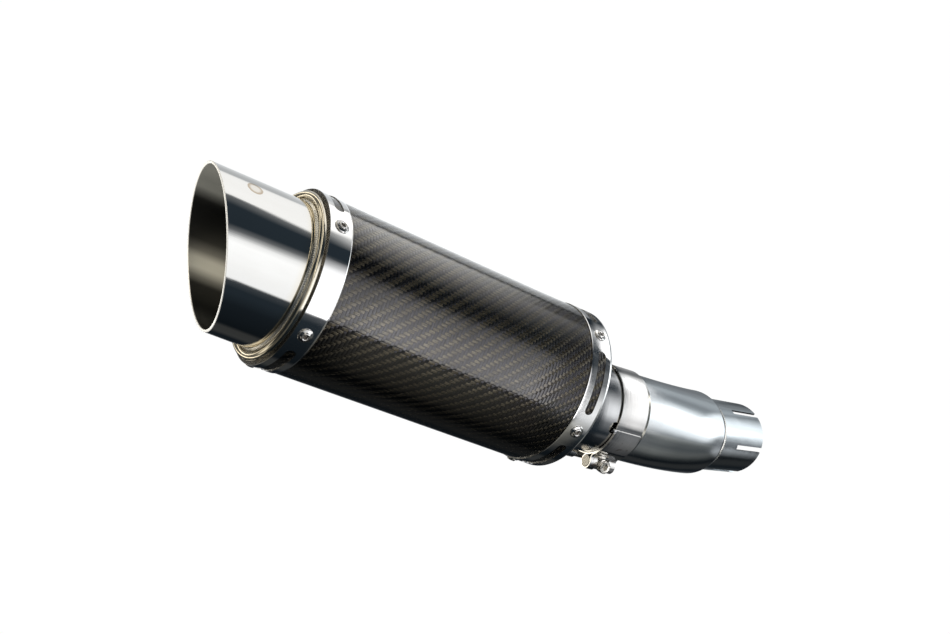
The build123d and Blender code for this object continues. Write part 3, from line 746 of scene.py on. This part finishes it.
# A softbox of the tent is its colour, its levels by angle from +Z towards -Y in degrees, and its levels by
# place along the canister's axis in metres. The places of SLIP_BOXES sway by SLIP_SWAY.
CANISTER_BOXES = (
    (
        # Wall behind
        (0.97, 0.99, 1.0),
        (
            (-125, 0), (-116, 0.1), (-108, 0.2), (-98, 0.45), (-88, 0.95), (-80, 0.8), (-69, 0.6),
            (-60, 0.5), (-50, 0.45), (-46, 0),
        ),
        (
            (-0.25, 0), (-0.2, 0.3), (-0.02, 0.9), (0.09, 0.95), (0.16, 1.25), (0.2, 1.5),
            (0.45, 1.5), (0.49, 1.0), (0.52, 0.3), (0.535, 0),
        ),
    ),
    (
        # Top, over the outlet
        (1.0, 0.99, 0.97),
        ((-51, 0), (-46, 0.93), (-30, 0.95), (-6, 0.96), (3, 0.95), (7, 0.12), (16, 0)),
        ((-0.25, 0), (-0.2, 0.3), (-0.02, 1.0), (0.13, 1.0), (0.19, 0)),
    ),
    (
        # Top, over the sleeve's back
        (1.0, 0.99, 0.96),
        ((-43, 0), (-38, 1.0), (-25, 0.95), (-21, 0)),
        ((0.12, 0), (0.2, 2.4), (0.34, 1.5), (0.41, 0.85), (0.45, 0.1), (0.5, 0)),
    ),
    (
        # Top, over the sleeve
        (1.0, 0.99, 0.96),
        ((-25, 0), (-21, 0.95), (-12, 0.85), (-4, 0.62), (5, 0.42), (13, 0.2), (22, 0)),
        ((0.12, 0), (0.2, 2.4), (0.34, 1.5), (0.46, 0.7), (0.484, 0.55), (0.491, 0.05), (0.51, 0)),
    ),
    (
        # Front, beside the outlet
        (1.0, 1.0, 0.995),
        (
            (36, 0), (42, 0.1), (47, 0.4), (53, 0.9), (60, 1.06), (76, 1.02), (95, 0.95),
            (107, 0.93), (110, 0.03), (120, 0),
        ),
        ((-0.25, 0), (-0.2, 0.3), (-0.02, 1.0), (0.13, 1.0), (0.2, 0)),
    ),
    (
        # Front, beside the sleeve
        (1.0, 0.99, 1.0),
        (
            (39, 0), (42, 0.35), (50, 0.95), (56, 1.3), (66, 1.6), (80, 2.2), (95, 2.6),
            (107, 2.6), (109, 0.1), (118, 0),
        ),
        ((0.12, 0), (0.18, 0.7), (0.22, 1.25), (0.34, 0.95), (0.452, 1.25), (0.462, 0)),
    ),
    (
        # Over the front band
        (0.99, 1.0, 1.0),
        (
            (-46, 0), (-40, 0.12), (-30, 0.35), (-20, 0.62), (-4, 0.74), (4, 0.55), (9, 0.22),
            (14, 0.05), (20, 0),
        ),
        ((0.512, 0), (0.52, 1.0), (0.545, 1.0), (0.553, 0)),
    ),
    (
        # Beside the front band
        (0.99, 1.0, 1.0),
        (
            (14, 0), (20, 0.03), (34, 0.04), (40, 0.12), (56, 0.14), (62, 0.3), (71, 0.5),
            (79, 0.75), (88, 0.8), (96, 0.9), (104, 0.75), (113, 0.45), (121, 0.15), (128, 0),
        ),
        ((0.462, 0), (0.468, 1.0), (0.508, 1.0), (0.514, 0)),
    ),
    (
        # Floor beside the sleeve
        (1.0, 0.95, 0.8),
        ((108, 0), (116, 0.5), (130, 0.38), (145, 0.22), (160, 0.1), (172, 0)),
        ((0.17, 0), (0.22, 1.0), (0.36, 0.95), (0.46, 0.5), (0.49, 0)),
    ),
    (
        # Light off the floor
        (1.0, 0.97, 0.88),
        ((-177, 0), (-170, 0.028), (-154, 0.03), (-142, 0)),
        ((0.0, 1.0), (0.9, 0.6)),
    ),
    (
        # Soft light from behind the outlet
        (0.98, 0.99, 1.0),
        ((-110, 0), (-80, 0.8), (-40, 0.9), (-24, 0), (40, 0), (60, 0.9), (100, 0.8), (125, 0)),
        ((-2.3, 0), (-2.0, 0.7), (-1.3, 0.7), (-1.15, 0)),
    ),
    (
        # Strip beyond the outlet
        (1.0, 0.93, 0.78),
        (
            (-180, 0.15), (-165, 0.6), (-155, 1.0), (-60, 1.0), (55, 0.95), (64, 0.5), (104, 0.45),
            (120, 0.1), (180, 0.1),
        ),
        (
            (-0.66, 0), (-0.62, 0.9), (-0.5, 0.9), (-0.45, 0.12), (-0.32, 0.1), (-0.29, 2.4),
            (-0.26, 2.4), (-0.24, 0.12), (-0.1, 0.05), (-0.05, 0),
        ),
    ),
)

SLIP_BOXES = (
    (
        # Strip beside the stub
        (0.99, 1.0, 1.0),
        (
            (-34, 0), (-25, 0.11), (-16, 0.43), (-6, 0.2), (4, 0.04), (13, 0.0), (22, 0.06),
            (32, 0.25), (42, 0.5), (51, 0.73), (61, 0.92), (71, 0.98), (80, 0.86), (90, 0.45),
            (100, 0.2), (111, 0.12), (121, 0.05), (131, 0), (141, 0.06), (150, 0.01), (170, 0),
        ),
        ((0.484, 0), (0.49, 1.0), (0.51, 1.0), (0.516, 0)),
    ),
    (
        # Card over the clamp
        (1.0, 0.99, 0.98),
        (
            (-152, 0), (-130, 0.15), (-112, 0.5), (-75, 0.3), (-54, 0.12), (-44, 0.2), (-35, 0.6),
            (-25, 0.88), (-16, 1.15), (62, 1.15), (72, 1.0), (80, 0.82), (88, 0.9), (95, 0.5),
            (100, 0.05), (108, 0.12), (120, 0.16), (141, 0.13), (163, 0.06), (180, 0.04),
        ),
        ((0.514, 0), (0.52, 1.0), (0.552, 1.0), (0.56, 0)),
    ),
    (
        # Wall behind the link pipe
        (0.92, 0.97, 1.0),
        ((-130, 0), (-116, 0.12), (-95, 0.18), (-62, 0.18), (-52, 0.24), (-44, 0)),
        ((0.554, 0), (0.564, 1.0), (0.69, 1.0), (0.72, 0)),
    ),
    (
        # Sky over the link pipe
        (0.9, 0.97, 1.0),
        (
            (-52, 0), (-44, 0.26), (-34, 0.42), (-24, 0.38), (-13, 0.24), (-4, 0.3), (3, 0.45),
            (9, 0),
        ),
        ((0.554, 0), (0.564, 1.0), (0.92, 1.0), (1.0, 0)),
    ),
    (
        # Window beside the link pipe
        (0.95, 0.99, 1.0),
        (
            (2, 0), (8, 0.7), (13, 1.05), (20, 1.6), (30, 2.0), (52, 2.0), (60, 1.4), (66, 1.1),
            (73, 0.95), (81, 0.6), (88, 0.2), (96, 0),
        ),
        ((0.554, 0), (0.564, 1.0), (1.5, 1.0), (1.8, 0.4), (2.2, 0)),
    ),
    (
        # Floor below the link pipe
        (0.98, 1.0, 0.93),
        (
            (84, 0), (94, 0.2), (104, 0.11), (122, 0.07), (140, 0.12), (152, 0.09), (160, 0.04),
            (170, 0.01), (178, 0),
        ),
        ((0.554, 0), (0.564, 1.3), (0.7, 1.1), (0.9, 0.8), (2.0, 0.7), (2.4, 0)),
    ),
    (
        # Wall behind the collar
        (0.93, 0.98, 1.0),
        (
            (-136, 0), (-125, 0.03), (-114, 0.17), (-88, 0.18), (-76, 0.05), (-66, 0.1),
            (-58, 0.2), (-48, 0.2), (-44, 0),
        ),
        ((0.69, 0), (0.72, 1.0), (4.2, 1.0)),
    ),
    (
        # Sky over the collar
        (0.93, 0.98, 1.0),
        (
            (-50, 0), (-44, 0.17), (-28, 0.28), (-22, 0.6), (-15, 0.95), (-8, 1.2), (10, 1.2),
            (18, 1.0), (30, 0.75), (43, 0.32), (55, 0),
        ),
        ((0.92, 0), (1.02, 1.0), (4.2, 1.0)),
    ),
    (
        # Far wall beyond the collar
        (0.95, 0.98, 1.0),
        (
            (40, 0), (48, 0.26), (63, 0.22), (91, 0.22), (122, 0.4), (148, 0.22), (168, 0.08),
            (180, 0.04),
        ),
        ((2.0, 0), (2.4, 1.0), (4.2, 1.0)),
    ),
)

# What glossy rays see between the softboxes
DARK_COLOUR = (0.017, 0.0245, 0.032)
DARK_LEVELS = (
    (-180, 0.28), (-150, 0.35), (-125, 0.5), (-60, 0.8), (10, 1.1), (40, 1.0), (126, 0.9), (144, 0.45),
    (180, 0.28),
)

# The dark gap's edges lean apart towards the mouth: how much by angle, and how many degrees by place
FLARE_RISE = ((-34, 0), (-1, 1.0), (25, 0))
FLARE_FALL = ((25, 0), (48, 1.0), (80, 0))
FLARE_REACH = ((0.03, 9.0), (0.14, 0.0))
FALL_SHARE = 0.45           # lean of the lower edge, as a share of the upper one's


def glow_only(tree, colour):
    """Turns a material into plain emission of a colour."""
    emission = tree.add("Emission")
    tree.nodes.remove(tree.shader)
    tree.feed(emission.inputs["Color"], colour)
    tree.links.new(emission.outputs[0], tree.nodes["Material Output"].inputs["Surface"])
    return tree.material


def room_glow(name, warmth):
    """White backdrop paper, just past the camera's white."""
    t = Tree(name)
    paper = t.noise(t.place(), 3, 2)
    return glow_only(t, t.tint((1, 1, warmth), t.plus(1.0, t.times(paper, 0.02))))


def tent_glow():
    """Every softbox of the tent, with the dark gap beside the outlet flaring towards the mouth."""
    t = Tree("tent_glow")
    x, angle, _ = t.polar()
    degrees = t.times(angle, 180 / math.pi)
    flare = t.plus(
        t.ramp(degrees, FLARE_RISE),
        t.times(t.ramp(degrees, FLARE_FALL), -FALL_SHARE),
    )
    flared = t.plus(degrees, t.times(flare, t.ramp(x, FLARE_REACH)))
    sway = t.times(t.plus(t.math("COSINE", angle), -1.0), SLIP_SWAY)
    light = t.tint(DARK_COLOUR, t.ramp(degrees, DARK_LEVELS))
    for boxes, place in ((CANISTER_BOXES, x), (SLIP_BOXES, t.plus(x, sway))):
        for colour, by_angle, by_place in boxes:
            level = t.times(t.ramp(flared, by_angle), t.ramp(place, by_place))
            light = t.sum(light, t.tint(colour, level))
    cloth = round_noise(t, x, angle, 3, 3, 2)
    return glow_only(t, t.tint(light, t.plus(0.96, t.times(cloth, 0.08))))


def only_for(obj, **kinds):
    """Limits the rays that see a studio object."""
    for kind in ("camera", "diffuse", "glossy", "transmission", "volume_scatter", "shadow"):
        setattr(obj, "visible_" + kind, kinds.get(kind, False))


def studio_room():
    """Pale floor and white room."""
    bpy.ops.mesh.primitive_uv_sphere_add(segments=64, ring_count=32, radius=ROOM_RADIUS)
    room = bpy.context.object
    room.name = "studio_room"
    room.data.materials.append(room_glow("room_white", 1.0))
    only_for(room, camera=True)
    bpy.ops.mesh.primitive_circle_add(vertices=96, radius=ROOM_RADIUS * 0.9, fill_type="NGON")
    floor = bpy.context.object
    floor.name = "studio_floor"
    floor.location.z = -FLOOR_DROP
    floor.data.materials.append(room_glow("floor_white", 0.999))
    only_for(floor, camera=True)


def studio_tent():
    """Open tube round the canister's axis."""
    length = TENT_END - TENT_START
    middle = Matrix.Translation(((TENT_START + TENT_END) / 2, 0, 0))
    bpy.ops.mesh.primitive_cylinder_add(
        vertices=128, radius=TENT_RADIUS, depth=length, end_fill_type="NOTHING"
    )
    tent = bpy.context.object
    tent.name = "studio_tent"
    tent.data.transform(middle @ Matrix.Rotation(math.pi / 2, 4, "Y"))
    tent.data.shade_smooth()
    tent.data.materials.append(tent_glow())
    only_for(tent, glossy=True)


AREA_LIGHTS = (
    # name, place, aim along the axis, watts, size
    ("key", (-0.2, -0.9, 0.9), 0.0, 9.0, 0.8),
    ("fill", (0.5, 0.9, 0.7), 0.0, 5.0, 1.0),
    ("mouth_light", (-0.42, 0.13, -0.40), TIP_BASE - 0.04, 4.0, 0.1),
)

# A small spot of light on the outlet's inner wall, on the side away from the camera
GLINT_PLACE = Vector((-0.114, 0.0369, -0.018))
GLINT_SIDE = Vector((-0.61, -0.71, 0.35))
GLINT_DISTANCE = 0.5


def soft_light(data, place, goal):
    """Hangs a light that mirror-like surfaces don't see."""
    light = bpy.data.objects.new(data.name, data)
    light.location = place
    light.rotation_euler = (goal - Vector(place)).to_track_quat("-Z", "Y").to_euler()
    light.visible_glossy = False
    light.visible_camera = False
    bpy.context.scene.collection.objects.link(light)


def studio_lights():
    """Soft light for what isn't mirror-like."""
    world = bpy.data.worlds.new("studio")
    bpy.context.scene.world = world
    world.use_nodes = True
    world.node_tree.nodes["Background"].inputs["Color"].default_value = (1, 1, 1, 1)
    world.node_tree.nodes["Background"].inputs["Strength"].default_value = 0.5
    world.cycles_visibility.glossy = False
    for name, place, aim, power, size in AREA_LIGHTS:
        data = bpy.data.lights.new(name, "AREA")
        data.energy = power
        data.size = size
        soft_light(data, place, Vector((aim, 0, 0)))
    data = bpy.data.lights.new("mouth_glint", "SPOT")
    data.energy = 16.0
    data.color = (1.0, 0.93, 0.82)
    data.spot_size = math.radians(6.0)
    data.spot_blend = 1.0
    data.shadow_soft_size = 0.005
    soft_light(data, GLINT_PLACE + GLINT_SIDE * GLINT_DISTANCE, GLINT_PLACE)


TARGET = Vector((0.02423, 0.0, 0.02090))
DISTANCE = 0.7153
AZIMUTH = math.radians(31.371)
ELEVATION = math.radians(6.482)
ROLL = math.radians(26.844)
LENS = 45.503


def studio_camera():
    """Camera a little above, on the outlet's side; its roll slopes the canister down to the right."""
    level = math.cos(ELEVATION)
    toward = Vector((math.sin(AZIMUTH) * level, math.cos(AZIMUTH) * level, -math.sin(ELEVATION)))
    turn = Matrix.Rotation(ROLL, 3, "Z").to_quaternion()
    data = bpy.data.cameras.new("camera")
    data.lens = LENS
    data.sensor_width = 36
    data.clip_start = 0.01
    data.clip_end = 50
    camera = bpy.data.objects.new("camera", data)
    camera.location = TARGET - toward * DISTANCE
    camera.rotation_mode = "QUATERNION"
    camera.rotation_quaternion = toward.to_track_quat("-Z", "Y") @ turn
    bpy.context.scene.collection.objects.link(camera)
    bpy.context.scene.camera = camera


def colour_management():
    """Plain display transform, so that the paper stays white."""
    settings = bpy.context.scene.view_settings
    settings.view_transform = "Standard"
    settings.look = "None"
    settings.exposure = 0.0
    settings.gamma = 1.0


dress_frame()
weld_beads()
studio_room()
studio_tent()
studio_lights()
studio_camera()
colour_management()
